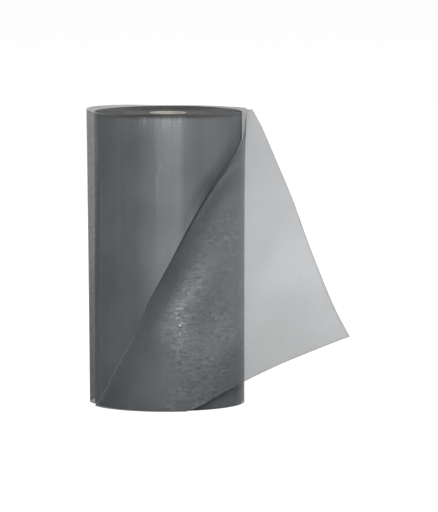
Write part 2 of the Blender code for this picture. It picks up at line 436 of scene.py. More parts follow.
# Camera: the photograph's frame, how far the lens is from the roll and what it is aimed at
PHOTO_WIDTH = 438
PHOTO_HEIGHT = 512
CAMERA_DISTANCE = 6.0
CAMERA_HEIGHT = 0.751
AIM_RIGHT = 0.0524
AIM_HEIGHT = 0.1511
MM_PER_PIXEL = 1.027
SENSOR = 36.0
CAMERA_SEES = 100.0

# Studio: a floor that is lifted to white, a sky that lights less than it shows, and soft lights by
# name, bearing, elevation, distance, width and height, and watts
FLOOR_RADIUS = 40.0
FLOOR_TINT = (0.16, 0.16, 0.16, 1.0)
FLOOR_ROUGHNESS = 0.9
FLOOR_LIFT = 0.9
SKY = 0.34
WHITE = (1.0, 1.0, 1.0, 1.0)
LIGHTS = (
    ("key_light", 7.0, 30.0, 3.2, (1.7, 2.4), 190.0),
    ("side_light", 70.0, 25.0, 3.0, (3.0, 2.0), 50.0),
    ("left_light", -80.0, 25.0, 3.0, (3.0, 2.0), 30.0),
    ("back_right_light", 138.0, 38.0, 3.0, (2.0, 1.6), 34.0),
    ("back_left_light", -138.0, 38.0, 3.0, (2.0, 1.6), 34.0),
)


def read(rows, column, at):
    """A table's column where its first column has the given values: a smooth curve through the
    rows that never swings past them (monotone cubic)."""
    knots, values = (np.asarray(rows[name], float) for name in (next(iter(rows)), column))
    x = np.clip(at, knots[0], knots[-1])
    spans = np.diff(knots)
    slopes = np.diff(values) / spans
    same_way = slopes[:-1] * slopes[1:] > 0
    inner = np.zeros(len(slopes) - 1)
    inner[same_way] = 2 / (1 / slopes[:-1][same_way] + 1 / slopes[1:][same_way])
    tangents = np.concatenate([slopes[:1], inner, slopes[-1:]])
    i = np.clip(np.searchsorted(knots, x, side="right") - 1, 0, len(spans) - 1)
    t = (x - knots[i]) / spans[i]
    start = values[i] * (1 + 2 * t) * (1 - t) ** 2 + tangents[i] * spans[i] * t * (1 - t) ** 2
    end = values[i + 1] * (3 - 2 * t) * t ** 2 - tangents[i + 1] * spans[i] * t ** 2 * (1 - t)
    return start + end


def smooth_step(x, start, end):
    """Smooth step from 0 at the start to 1 at the end; the end may lie below the start."""
    t = np.clip((x - start) / (end - start), 0.0, 1.0)
    return t * t * (3 - 2 * t)


def window(x, start, whole, fade, end):
    """Smooth step up from the start to where it is whole, and another down from fade to end."""
    return smooth_step(x, start, whole) * smooth_step(x, end, fade)


def polar(bearing, radius):
    """Point round the axis: bearing 0 is the front (-Y), 90 the right (+X)."""
    angle = np.radians(bearing)
    return np.stack([radius * np.sin(angle), -radius * np.cos(angle)], axis=-1)


def waves(x, y, amplitude, lengths, seed):
    """Smooth unevenness: a sum of sines that run in seeded directions over the plane (x, y)."""
    chance = np.random.default_rng(seed)
    total = 0.0
    for length in lengths:
        direction, phase = chance.uniform(0, 2 * np.pi, 2)
        run = x * np.cos(direction) + y * np.sin(direction)
        total = total + np.sin(2 * np.pi * run / length + phase)
    return amplitude * total / len(lengths)


class Value:
    """One value in a material's node tree. Arithmetic on it adds Math nodes."""

    def __init__(self, tree, socket=None):
        self.tree = tree
        self.socket = socket

    def node(self, kind, settings=None, inputs=None, output=0):
        """Add a node: its settings first, then the values or links of its sockets."""
        made = self.tree.nodes.new(kind)
        for name, setting in (settings or {}).items():
            if name == "stops":
                for stop, (place, colour) in zip(ramp_stops(made.color_ramp, len(setting)), setting):
                    stop.position = place
                    stop.color = (*colour, 1.0)
            else:
                setattr(made, name, setting)
        for name, given in (inputs or {}).items():
            if isinstance(given, Value):
                self.tree.links.new(given.socket, made.inputs[name])
            else:
                made.inputs[name].default_value = given
        return Value(self.tree, made.outputs[output])

    def math(self, operation, *others):
        """Math node of this operation on this value and the others."""
        return self.node("ShaderNodeMath", {"operation": operation}, dict(enumerate((self, *others))))

    def reflected(self, operation, other):
        """Math node of this operation on the other and this value."""
        return self.node("ShaderNodeMath", {"operation": operation}, {0: other, 1: self})

    def __add__(self, other):
        return self.math("ADD", other)

    def __sub__(self, other):
        return self.math("SUBTRACT", other)

    def __rsub__(self, other):
        return self.reflected("SUBTRACT", other)

    def __mul__(self, other):
        return self.math("MULTIPLY", other)

    __radd__ = __add__
    __rmul__ = __mul__

    def __truediv__(self, other):
        return self.math("DIVIDE", other)

    def __rtruediv__(self, other):
        return self.reflected("DIVIDE", other)

    def __lt__(self, other):
        return self.math("LESS_THAN", other)

    def __gt__(self, other):
        return self.math("GREATER_THAN", other)

    def __abs__(self):
        return self.math("ABSOLUTE")

    def part(self, axis):
        """One component of a vector: 0, 1 or 2."""
        return self.node("ShaderNodeSeparateXYZ", None, {0: self}, axis)

    def shaded(self, factor):
        """This colour scaled by the factor."""
        return self.node("ShaderNodeVectorMath", {"operation": "SCALE"}, {0: self, 3: factor})

    def ramp(self, stops):
        """Colour by this value, between the stops of a ramp."""
        return self.node("ShaderNodeValToRGB", {"stops": stops}, {0: self})

    def eased(self, start, end, low, high=1.0):
        """Smooth step from low, where this value is at the start, to high at the end."""
        limits = {0: self, 1: start, 2: end, 3: low, 4: high}
        return self.node("ShaderNodeMapRange", {"interpolation_type": "SMOOTHSTEP"}, limits)

    def noise(self, scale, detail=2.0, roughness=0.5, curl=0.0):
        """Noise from 0 to 1 over this vector, curled by its own distortion."""
        inputs = {"Vector": self, "Scale": scale, "Detail": detail, "Roughness": roughness}
        return self.node("ShaderNodeTexNoise", None, {**inputs, "Distortion": curl})


def ramp_stops(ramp, count):
    """The stops of a colour ramp, with as many as are asked for."""
    while len(ramp.elements) < count:
        ramp.elements.new(1.0)
    return ramp.elements


def new_material(name, **fixed):
    """Principled material with fixed values; returns it, a Value for its tree and its shader."""
    made = bpy.data.materials.new(name)
    made.use_nodes = True
    shader = made.node_tree.nodes["Principled BSDF"]
    for socket, value in fixed.items():
        shader.inputs[socket.replace("_", " ")].default_value = value
    return made, Value(made.node_tree), shader


def feed(shader, socket, value):
    """Link a value to one of the shader's sockets."""
    value.tree.links.new(value.socket, shader.inputs[socket])


def flat_map(tree):
    """The piece's own flat coordinates, in metres."""
    return tree.node("ShaderNodeUVMap", {"uv_map": "flat"})


def own_place(tree):
    """The piece's Object coordinates."""
    return tree.node("ShaderNodeTexCoord", None, None, 3)


def kept(tree, attribute):
    """A value that the mesh keeps for each of its points."""
    return tree.node("ShaderNodeAttribute", {"attribute_name": attribute}, None, 2)


def wandered(flat):
    """Flat coordinates that wander from patch to patch, as wires do in a mesh that has been wound
    and handled: a noise vector is scaled to the span and added."""
    patches = {"Vector": flat, "Scale": 1 / WANDER_PATCH, "Detail": 1.0}
    drift = flat.node("ShaderNodeTexNoise", None, patches, 1)
    terms = {0: drift, 1: (WANDER_SPAN, WANDER_SPAN, 0.0), 2: flat}
    return flat.node("ShaderNodeVectorMath", {"operation": "MULTIPLY_ADD"}, terms)


def weave(flat, shift=(0.0, 0.0)):
    """Plain weave over the sheet's flat coordinates, in metres: warp wires run along the first and
    weft wires along the second. Returns where there is a wire, and the tilt of its surface along
    both coordinates.

    Each wire is a half circle across its run, and its run rises and falls as a sine that passes
    over one crossing wire and under the next.
    """
    along = flat.part(0) / WEFT_PITCH + shift[0]
    across = flat.part(1) / WARP_PITCH + shift[1]
    off_weft = (along.math("FRACT") - 0.5) * (2 * WEFT_PITCH / DRAWN_WIRE)
    off_warp = (across.math("FRACT") - 0.5) * (2 * WARP_PITCH / DRAWN_WIRE)
    on_weft = abs(off_weft) < 1.0
    on_warp = abs(off_warp) < 1.0
    weft_number = along.math("FLOOR")
    warp_number = across.math("FLOOR")
    warp_over = (weft_number + warp_number).math("PINGPONG", 1.0)
    warp_shows = on_warp * (1 - on_weft * (1 - warp_over))
    sway = np.pi * DRAWN_WIRE / WEFT_PITCH / 2
    warp_slope = ((along + warp_number) * np.pi).math("SINE") * sway
    weft_slope = ((across + weft_number) * np.pi).math("SINE") * sway
    tilt_along = warp_shows * warp_slope + (1 - warp_shows) * off_weft
    tilt_across = warp_shows * off_warp - (1 - warp_shows) * weft_slope
    return on_weft.math("MAXIMUM", on_warp), tilt_along, tilt_across


def wire_normal(wires, tilt_along, tilt_across, relief):
    """Normal of the wires' round surface: its tilts along the two flat coordinates, scaled by the
    relief, and what they leave of a unit length upright."""
    x = tilt_along * wires * relief[0]
    y = tilt_across * wires * relief[1]
    z = (1 - x * x - y * y).math("MAXIMUM", FLATTEST).math("SQRT")
    parts = {0: x * 0.5 + 0.5, 1: y * 0.5 + 0.5, 2: z * 0.5 + 0.5}
    colour = x.node("ShaderNodeCombineXYZ", None, parts)
    return colour.node("ShaderNodeNormalMap", {"uv_map": "flat"}, {"Strength": 1.0, "Color": colour})


def screen_finish():
    """One layer of screen: see-through between its wires, dull aluminium on them."""
    made, tree, shader = new_material("screen_single", Metallic=SCREEN_METAL)
    flat = flat_map(tree)
    wires, tilt_along, tilt_across = weave(wandered(flat))
    tint = flat.noise(*GLINT_NOISE) * GLINT_SHARE + flat.noise(SCREEN_PATCH) * (1 - GLINT_SHARE)
    haze = GAP_COVER + (ROLL_WIDTH - flat.part(1)) * (LOW_COVER / ROLL_WIDTH)

    # Painted specks of glint and moiré shade in patches where the flap lies over the turn, and the
    # sheet's painted shade and light kept on its points
    place = own_place(tree)
    drawn = place.node("ShaderNodeVectorMath", {"operation": "MULTIPLY"}, {0: place, 1: SPECK_DRAW})
    speck = drawn.noise(*SPECK_NOISE)
    patch = flat.noise(SPECK_PATCH).eased(*SPECK_PATCHES)
    specks = speck.eased(*LIGHT_SPECKS) - speck.eased(*DARK_SPECKS)
    shade = kept(tree, "light") * (1 + kept(tree, "specks") * patch * specks)
    feed(shader, "Base Color", tint.ramp(SCREEN_TINTS).shaded(shade))
    feed(shader, "Roughness", SCREEN_ROUGHNESS[0] + wires * SCREEN_ROUGHNESS[1])
    feed(shader, "Alpha", haze + wires * WIRE_COVER)
    feed(shader, "Normal", wire_normal(wires, tilt_along, tilt_across, WIRE_RELIEF))
    return made


def wound_finish():
    """Screen over screen: wires on top, the next layers' wires in the gaps in painted shade,
    then deeper painted shade.
    """
    made, tree, shader = new_material("screen_wound", Metallic=WOUND_METAL)
    flat = flat_map(tree)
    drift = flat.noise(DRIFT_PATCH) * DRIFT
    loose = wandered(flat)
    wires, tilt_along, tilt_across = weave(loose)
    under, deeper = (
        weave(loose, [drift * share + start for share, start in shifts])[0]
        for shifts in LAYER_SHIFTS
    )
    second, third, gap = DEPTH_SHADES
    below = under * second + (1 - under) * (gap + deeper * (third - gap))
    shade = wires + (1 - wires) * below

    # Painted highlight and shade in upright bands by bearing, the painted light kept on the points,
    # and random upright streaks of tone
    around = flat.part(0)
    stretched = flat.node("ShaderNodeCombineXYZ", None, {0: around, 1: flat.part(1) * STREAK_DRAW})
    streak = stretched.noise(*STREAK_NOISE)
    painted_band_stops = sorted((((ROOT_BEARING - bearing) % 360) / 360, (light,) * 3) for bearing, light in PAINTED_BANDS)
    painted_band = (around / (2 * np.pi * ROLL_RADIUS)).ramp(painted_band_stops)
    shade = shade * painted_band * kept(tree, "light") * (1 - STREAK_DEPTH + streak * (2 * STREAK_DEPTH))
    tint = flat.noise(WOUND_PATCH)
    feed(shader, "Base Color", tint.ramp(WOUND_TINTS).shaded(shade))
    feed(shader, "Roughness", WOUND_ROUGHNESS[0] + tint * WOUND_ROUGHNESS[1])
    feed(shader, "Normal", wire_normal(wires, tilt_along, tilt_across, WOUND_RELIEF))
    return made


def edge_finish():
    """Cut edges of the turns, seen on the roll's end: dark, with a glint at each weft wire."""
    made, tree, shader = new_material("screen_edge", Metallic=EDGE_METAL)
    flat = flat_map(tree)
    glint = abs((flat.part(0) * (np.pi / WEFT_PITCH)).math("SINE"))
    patch = flat.noise(EDGE_PATCH)
    tint = glint * EDGE_GLINT + patch * (1 - EDGE_GLINT)
    # The painted shade kept on the points darkens the ring and the last turns
    feed(shader, "Base Color", tint.ramp(EDGE_TINTS).shaded(kept(tree, "light")))
    feed(shader, "Roughness", EDGE_ROUGHNESS[0] + patch * EDGE_ROUGHNESS[1])
    return made


def wire_finish():
    """Bare drawn aluminium wire of the selvage and the cut ends."""
    made, tree, shader = new_material("screen_wire", Metallic=SCREEN_METAL)
    tint = own_place(tree).noise(WIRE_PATCH)
    feed(shader, "Base Color", tint.ramp(WIRE_TINTS))
    feed(shader, "Roughness", WIRE_ROUGHNESS[0] + tint * WIRE_ROUGHNESS[1])
    return made


def board_finish():
    """Pale grey-olive paper board: fibres, and a darker line where each spiral ply meets itself."""
    made, tree, shader = new_material("tube_board", Metallic=0.0)
    place = own_place(tree)
    fibres = place.noise(*FIBRE_NOISE)
    flat = flat_map(tree)
    ply = flat.part(0) / (2 * np.pi * TUBE_RADIUS) + flat.part(1) / PLY_WIDTH
    seam = abs(ply.math("FRACT") - 0.5) < PLY_SEAM
    tint = fibres * FIBRE_SHARE + place.noise(BOARD_PATCH) * (1 - FIBRE_SHARE) - seam * SEAM_DARKER
    feed(shader, "Base Color", tint.ramp(BOARD_TINTS))
    feed(shader, "Roughness", BOARD_ROUGHNESS[0] + fibres * BOARD_ROUGHNESS[1])
    relief = {"Strength": FIBRE_BUMP, "Distance": FIBRE_HEIGHT, "Height": fibres}
    feed(shader, "Normal", place.node("ShaderNodeBump", None, relief))
    return made


def linked(name, data):
    """New object that holds the data, in the scene."""
    made = bpy.data.objects.new(name, data)
    bpy.context.scene.collection.objects.link(made)
    return made


def grid_object(name, points, flat, finish, wrap_rows=False, wrap_columns=False, split=None,
                breaks=(), **values):
    """Object whose faces join neighbouring points of a rows by columns grid. flat holds each
    point's flat coordinates. From column split on, faces read the second set of flat coordinates.
    No face crosses the columns in breaks. Further values are kept for each point as an attribute.
    """
    rows, columns = points.shape[:2]
    down = np.arange(rows if wrap_rows else rows - 1)
    across = np.arange(columns if wrap_columns else columns - 1)
    across = np.setdiff1d(across, np.array(breaks, int) - 1)
    r, c = np.meshgrid(down, across, indexing="ij")
    corner_rows = np.stack([r, r, r + 1, r + 1], axis=-1)
    corner_columns = np.stack([c, c + 1, c + 1, c], axis=-1)
    faces = (corner_rows % rows) * columns + corner_columns % columns
    mesh = bpy.data.meshes.new(name)
    placed = points.reshape(-1, 3) + np.array([*AXIS, 0.0])
    mesh.from_pydata(placed, [], faces.reshape(-1, 4))
    first, second = flat if isinstance(flat, tuple) else (flat, flat)
    use_second = (c >= (columns if split is None else split))[..., None, None]
    row = corner_rows.clip(0, first.shape[0] - 1)
    column = corner_columns.clip(0, first.shape[1] - 1)
    uv = np.where(use_second, second[row, column], first[row, column])
    layer = mesh.uv_layers.new(name="flat")
    layer.uv.foreach_set("vector", uv.astype(np.float32).ravel())
    for attribute, value in values.items():
        layer = mesh.attributes.new(attribute, "FLOAT", "POINT")
        layer.data.foreach_set("value", value.astype(np.float32).ravel())
    mesh.materials.append(finish)
    mesh.shade_smooth()
    return linked(name, mesh)


def wound_radius(travelled):
    """Outer radius of the tight turns: a spiral that gains the root's step in a turn, with slight
    flats, which are a sum of sines that fades to nothing at the root."""
    share = travelled / 360
    fade = np.sin(np.pi * share) ** 2
    angle = np.radians(travelled)
    lumps = sum(np.sin(count * angle + count) for count in LUMPS_ROUND) / len(LUMPS_ROUND)
    return ROLL_RADIUS - ROOT_STEP * (1 - share) + LUMP_HEIGHT * fade * lumps


def loose_radius(travelled, height):
    """Distance of the outer turn from the axis: its base radius, and towards the top a growing
    share, a power of the height, of what the top is wider by."""
    low = read(LOOSE_TURN, "at_base", travelled)
    high = read(LOOSE_TURN, "at_top", travelled)
    return low + (high - low) * (height / ROLL_WIDTH) ** read(LOOSE_TURN, "flare", travelled)


def belly(along, height):
    """How far the flap stands out of its straight line: one arch of a sine over the flap's length,
    by the distance from the fold, lower towards the base and the top."""
    arch = np.sin(np.pi * np.minimum(along / FLAP_LENGTH, 1.0))
    return FLAP_BILLOW * read(LEAVING, "belly", height) * arch


def screen_heights():
    """Heights of the rows: even up to the flap's corner, and closer together towards the top."""
    below = np.linspace(SHEET_FOOT, CORNER_HEIGHT, CORNER_ROW, endpoint=False)
    share = np.linspace(0, 1, SCREEN_ROWS - CORNER_ROW)
    above = ROLL_WIDTH - (ROLL_WIDTH - CORNER_HEIGHT) * (1 - share) ** TOP_GRADING
    return np.concatenate([below, above])


def screen_surface():
    """Points of the loose screen, a grid of rows by columns.

    Along a row the screen runs round the roll at the loose turn's radius, turns back through half
    a circle at the fold, lies round the roll again a bend's width further out, and leaves it in a
    straight line to its free edge, with a slight belly and ripple.
    """
    height = screen_heights()[:, None]
    fold = read(FOLD, "bearing", height)
    last = 360 + ROOT_BEARING - fold
    travelled = ROOT_GAP + (last - ROOT_GAP) * np.linspace(0, 1, TURN_COLUMNS, endpoint=False)
    turn = polar(ROOT_BEARING - travelled, loose_radius(travelled, height))

    # The flap lies round the roll up to the lift-off, then runs straight to its free edge
    inner = loose_radius(last, height)
    bend = read(FOLD, "bend", height) + LAP_SPARE / 2
    lap_radius = inner + 2 * bend
    leaving = read(LEAVING, "bearing", height)
    early = leaving < fold
    bend_end = np.where(early, leaving, fold)
    lift_off = np.where(early, fold, leaving)
    heading = polar(leaving + 90, 1.0)
    lap = lap_radius * np.radians(lift_off - fold)
    off_roll = polar(lift_off, lap_radius)
    off_bend = polar(fold, inner + bend) + polar(bend_end, bend)
    start = np.where((lap > 0)[..., None], off_roll, off_bend)
    on_cut = height < CORNER_HEIGHT
    reach = np.where(on_cut, read(CUT_END, "reach", height), read(SELVAGE, "reach", height))
    straight = (reach - start[..., 0]) / heading[..., 0]
    straight = straight - belly(lap + straight, height) * np.sin(np.radians(leaving))
    along = (lap + straight) * np.linspace(0, 1, FLAP_COLUMNS + 1) ** FLAP_GRADING
    on_roll = polar(fold + np.degrees(along / lap_radius), lap_radius)
    in_air = start + (along - lap)[..., None] * heading
    flap = np.where((along < lap)[..., None], on_roll, in_air)

    # The flap leaves the tighter nose steeply and comes back to its own line along an exponential
    nose = bend * NOSE_SHARE
    nose_centre = polar(fold, inner + nose)
    nose_end = bend_end - NOSE_ANGLE
    short_of = flap[:, :1] - (nose_centre + polar(nose_end, nose))
    outward = polar(bend_end, 1.0)
    easing = (short_of * outward).sum(axis=-1) / math.tan(math.radians(NOSE_ANGLE))
    flap = flap - short_of * np.exp(-along / easing)[..., None]
    round_bend = np.linspace(0, 1, BEND_COLUMNS, endpoint=False)
    bend_line = nose_centre + polar(fold - 180 + (nose_end - fold + 180) * round_bend, nose)
    outwards = np.stack([heading[..., 1], -heading[..., 0]], axis=-1)
    ripple = FLAP_RIPPLE * np.sin(2 * np.pi * height / RIPPLE_LENGTH) * (along / FLAP_LENGTH) ** 2
    flap = flap + (belly(along, height) + ripple)[..., None] * outwards
    line = np.concatenate([turn, bend_line, flap], axis=1)

    # The selvage has slid up where the turn is loose, and the flap keeps the fold's own slide
    rest = np.broadcast_to(last, (SCREEN_ROWS, line.shape[1] - TURN_COLUMNS))
    slide = read(LOOSE_TURN, "rise", np.concatenate([travelled, rest], axis=1))
    slide = slide * (height / ROLL_WIDTH) ** RISE_FADE
    return np.concatenate([line, (height + slide)[..., None]], axis=2)


def flat_coordinates(points):
    """The sheet's own flat coordinates, in metres, as the turn and as the flap reads them, the
    distance from the fold, which is negative on the turn, and the warp's direction on the flap.

    Round the turn they are the length run from the root and the height. On the flap they are
    measured along and away from the selvage, whose direction is found in the flap laid flat, so
    that the weave slants with it.
    """
    steps = np.linalg.norm(np.diff(points[..., :2], axis=1), axis=-1)
    run = np.concatenate([np.zeros((len(points), 1)), np.cumsum(steps, axis=1)], axis=1)
    height = points[..., 2]
    turn = np.stack([run, height], axis=-1)

    # The flap laid flat runs back from the fold, in the turn's own run
    fold_run = run[:, FOLD_COLUMN:FOLD_COLUMN + 1]
    laid = np.stack([2 * fold_run - run, height], axis=-1)
    top, corner = laid[-1, -1], laid[CORNER_ROW, -1]
    warp_way = (corner - top) / np.linalg.norm(corner - top)
    inwards = np.array([warp_way[1], -warp_way[0]])
    offset = laid - top
    along = run[-1, FOLD_COLUMN] + offset @ warp_way
    away = ROLL_WIDTH - np.abs(offset @ inwards)
    return turn, np.stack([along, away], axis=-1), run - fold_run, warp_way


def screen_shades(points, from_fold):
    """Painted shade and light on the loose screen's wires at each point, and where painted specks go.

    From the fold a smooth step leads from painted shade to the painted highlight crest, and another
    from there to the far shade and on to the free flap's. The fold's nose, its tip and the bend are
    lifted by painted light by height, and the nose is darkened by painted shade at some heights. The
    turn has a painted shadow close under the cut end, a painted highlight at the roll's right rim,
    and a painted strip of its own at the left.
    """
    height = screen_heights()[:, None]
    distance = np.abs(from_fold)
    flap = from_fold > 0
    at_fold, dark_to, crest_at, crest, far, free, nose = (
        read(FOLD_PAINTED_LIGHT, column, height) for column in list(FOLD_PAINTED_LIGHT)[1:]
    )
    rise = smooth_step(distance, dark_to, crest_at)
    fall = smooth_step(distance, crest_at, np.maximum(FAR_FROM_FOLD, crest_at + LEAST_FALL))
    light = at_fold + (crest - at_fold) * rise
    light = light + (np.where(flap, far, TURN_LIGHT) - crest) * fall
    light = light + (free - far) * smooth_step(distance, *FREE_FROM_FOLD) * fall * flap
    light = light + nose * smooth_step(distance, *FOLD_NOSE)
    lift = read(BESIDE_FOLD, "lift", height) * smooth_step(distance, *BEND_LIFTED)
    tip = read(BESIDE_FOLD, "tip", height) * smooth_step(distance, *TIP_LIFTED)
    light = light * (1 + np.where(flap, tip, lift))

    # The turn's painted shade and light: shadow under the cut end, highlight at the right rim, strip at
    # the left
    reach = points[..., 0]
    bearing = np.degrees(np.arctan2(reach, -points[..., 1]))
    below = np.interp(reach, CUT_END["reach"], CUT_END["height"]) - height
    shadow = CUT_SHADE * np.exp(-(below / CUT_SHADE_REACH) ** 2) * window(bearing, *CUT_SHADE_BEARINGS)
    rim = RIM_LIGHT * window(bearing, *RIM_BEARINGS)
    begins = np.interp(height, LEFT_HEIGHTS, LEFT_STARTS)
    left = window(bearing, begins, begins - LEFT_EASE, *LEFT_FADE)
    left = left * read(LEFT_LIGHT, "lighter", height)
    light = light * np.where(flap, 1.0, (1 - shadow) * (1 + rim) * (1 + left))
    specks = smooth_step(distance, *SPECKS_FROM_FOLD) * smooth_step(height, *SPECKS_HEIGHT) * flap
    return light, specks * window(reach, *SPECKS_REACH)


def loose_screen(finish):
    """The sprung outer turn, its fold and its flap, as a sheet two wires thick."""
    points = screen_surface()
    turn_flat, flap_flat, from_fold, warp_way = flat_coordinates(points)
    light, specks = screen_shades(points, from_fold)
    made = grid_object("loose_screen_sheet", points, (turn_flat, flap_flat), finish,
                       split=FOLD_COLUMN, light=light, specks=specks)
    thickness = made.modifiers.new("sheet", "SOLIDIFY")
    thickness.thickness = SHEET
    thickness.offset = 0.0
    thickness.use_even_offset = True
    return made, points, warp_way


def wire_along(path, radius):
    """Closed tube carried along a path, a list of points: rings of the radius round each point,
    square to the path, and rings of no size at both ends."""
    closed = np.concatenate([path[:1], path, path[-1:]])
    run = np.gradient(path, axis=0)
    run = np.concatenate([run[:1], run, run[-1:]])
    run /= np.linalg.norm(run, axis=-1, keepdims=True)
    side = np.cross(run, WIRE_TILT)
    side /= np.linalg.norm(side, axis=-1, keepdims=True)
    third = np.cross(run, side)
    size = np.full(len(closed), radius)
    size[[0, -1]] = 0.0
    turn = np.radians(np.linspace(0, 360, WIRE_SIDES, endpoint=False))[:, None, None]
    return closed + size[:, None] * (np.cos(turn) * side + np.sin(turn) * third)


def wire_object(name, paths, radius, finish):
    """One object of closed wires, one along each path; the paths need not be of one length."""
    grids = [wire_along(path, radius) for path in paths]
    columns = np.cumsum([0] + [grid.shape[1] for grid in grids])
    points = np.concatenate(grids, axis=1)
    flat = np.zeros((*points.shape[:2], 2))
    made = grid_object(name, points, flat, finish, wrap_rows=True, breaks=columns[1:-1])
    cage = bmesh.new()
    cage.from_mesh(made.data)
    bmesh.ops.remove_doubles(cage, verts=cage.verts, dist=WIRE_MERGE)
    bmesh.ops.recalc_face_normals(cage, faces=cage.faces)
    cage.to_mesh(made.data)
    cage.free()
    return made


def edge_wires(points, finish):
    """The selvage wires, along the sheet's top edge and down the flap's, and along its base."""
    top_edge = np.concatenate([points[-1], points[-2:CORNER_ROW - 1:-1, -1]])
    return wire_object("selvage_wires", [top_edge, points[0]], SELVAGE_WIRE / 2, finish)


def cut_wire_ends(points, warp_way, finish):
    """The warp wires' own ends, a pitch apart along the cut: each stands out of the sheet by a
    seeded length, nearly in the warp's direction."""
    edge = points[:CORNER_ROW + 1, -1]
    outwards = edge - points[:CORNER_ROW + 1, -2]
    outwards[:, 2] = 0.0
    outwards /= np.linalg.norm(outwards, axis=-1, keepdims=True)
    steps = np.linalg.norm(np.diff(edge, axis=0), axis=-1)
    run = np.concatenate([[0.0], np.cumsum(steps)])
    chance = np.random.default_rng(CUT_WIRE_SEED)
    stands = np.arange(WARP_PITCH, run[-1], WARP_PITCH)
    stands = stands + chance.normal(0, CUT_WIRE_SPREAD, len(stands))
    foot, way = (
        np.stack([np.interp(stands, run, line) for line in lines.T], axis=-1)
        for lines in (edge, outwards)
    )
    lean = chance.normal(0, CUT_WIRE_LEAN, (len(stands), 2))
    way = way * (-warp_way[0] + lean[:, :1])
    way[:, 2] += warp_way[1]
    way[:, 1] += lean[:, 1] * CUT_WIRE_SIDEWAYS
    out = chance.uniform(*CUT_WIRE_OUT, len(stands))[:, None]
    out = np.minimum(out, np.maximum(foot[:, 2:] - CUT_WIRE, 0.0))
    long_enough = out[:, 0] > CUT_WIRE
    paths = np.stack([foot - way * CUT_WIRE_ROOT, foot, foot + way * out], axis=1)[long_enough]
    return wire_object("cut_wire_ends", list(paths), CUT_WIRE / 2, finish)


def wound_shades(level, bearing):
    """Painted shade and light on the tight turns' wires at each point: painted shade beside the fold,
    with a narrow line lifted by painted light right at it, a painted highlight band that fades
    downwards, a crinkled painted highlight line, short streaks of painted highlight under the upper
    rim and a painted shade line at the rim."""
    beside = np.radians((read(FOLD, "bearing", level) - bearing) % 360) * ROLL_RADIUS
    reach = read(BESIDE_FOLD, "reach", level)
    dark = read(BESIDE_FOLD, "darker", level) * smooth_step(beside, reach, BESIDE_FULL * reach)
    light = (1 - dark) * (1 + read(BESIDE_FOLD, "lift", level) * np.exp(-beside / LIFTED))
    centred = (bearing + 180) % 360 - 180
    faded = smooth_step(centred, *BAND_BEARINGS) * smooth_step(level, *BAND_HEIGHTS)
    light = light * (1 - BAND_FADE * faded)
    off_line = centred - read(CRINKLED_HIGHLIGHT, "bearing", level)
    crinkled_highlight = read(CRINKLED_HIGHLIGHT, "lighter", level) * np.exp(-(off_line / CRINKLED_HIGHLIGHT_WIDTH) ** 2)
    light = light * (1 + crinkled_highlight)
    chance = np.random.default_rng(FRAYED_SEED)
    from_top = ROLL_WIDTH - level
    frayed = smooth_step(from_top, chance.uniform(*FRAYED_DEPTHS, WOUND_COLUMNS), 0.0)
    frayed = frayed * window(centred, *FRAYED_BEARINGS)
    streaks = FRAYED_HIGHLIGHT + FRAYED_STREAKS * chance.normal(0, 1, WOUND_COLUMNS)
    light = light * (1 - RIM_SHADE * smooth_step(from_top, *RIM_REACH))
    return light * (1 + frayed * streaks)


def wound_turns(finish):
    """The tight turns as one closed form, of rings joined from the bore's foot outwards, up the
    spiral skin and in over the end: flat base and bore, and an end that the turns' own edges
    stand on."""
    travelled = np.linspace(0, 360 - ROOT_GAP, WOUND_COLUMNS)
    outer = wound_radius(travelled)
    heights = np.linspace(WOUND_LIP, ROLL_WIDTH - WOUND_LIP, WOUND_ROWS)
    around = outer[None] * np.radians(travelled)
    wobble = waves(around, heights[:, None], WOBBLE, WOBBLE_LENGTHS, WOBBLE_SEED)
    skin = outer[None] + wobble * np.sin(np.pi * travelled / 360)[None]
    bore = np.full(WOUND_COLUMNS, TUBE_RADIUS + BORE_GAP)
    radii = np.stack([bore, outer - WOUND_LIP, *skin, outer - WOUND_LIP, outer - END_STEP, bore])
    end = ROLL_WIDTH - END_LEVEL
    levels = np.array([0.0, 0.0, *heights, ROLL_WIDTH, end, end - DISH])[:, None]
    points = np.empty((*radii.shape, 3))
    points[..., :2] = polar(ROOT_BEARING - travelled, radii)
    points[..., 2] = levels
    level = points[..., 2]
    flat = np.stack(np.broadcast_arrays(np.radians(travelled) * ROLL_RADIUS, level), axis=-1)
    light = wound_shades(level, ROOT_BEARING - travelled)
    made = grid_object("wound_turns", points[::-1], flat[::-1], finish, True, True, light=light[::-1])
    made.data.set_sharp_from_angle(angle=math.radians(SHARP_ANGLE))
    return made


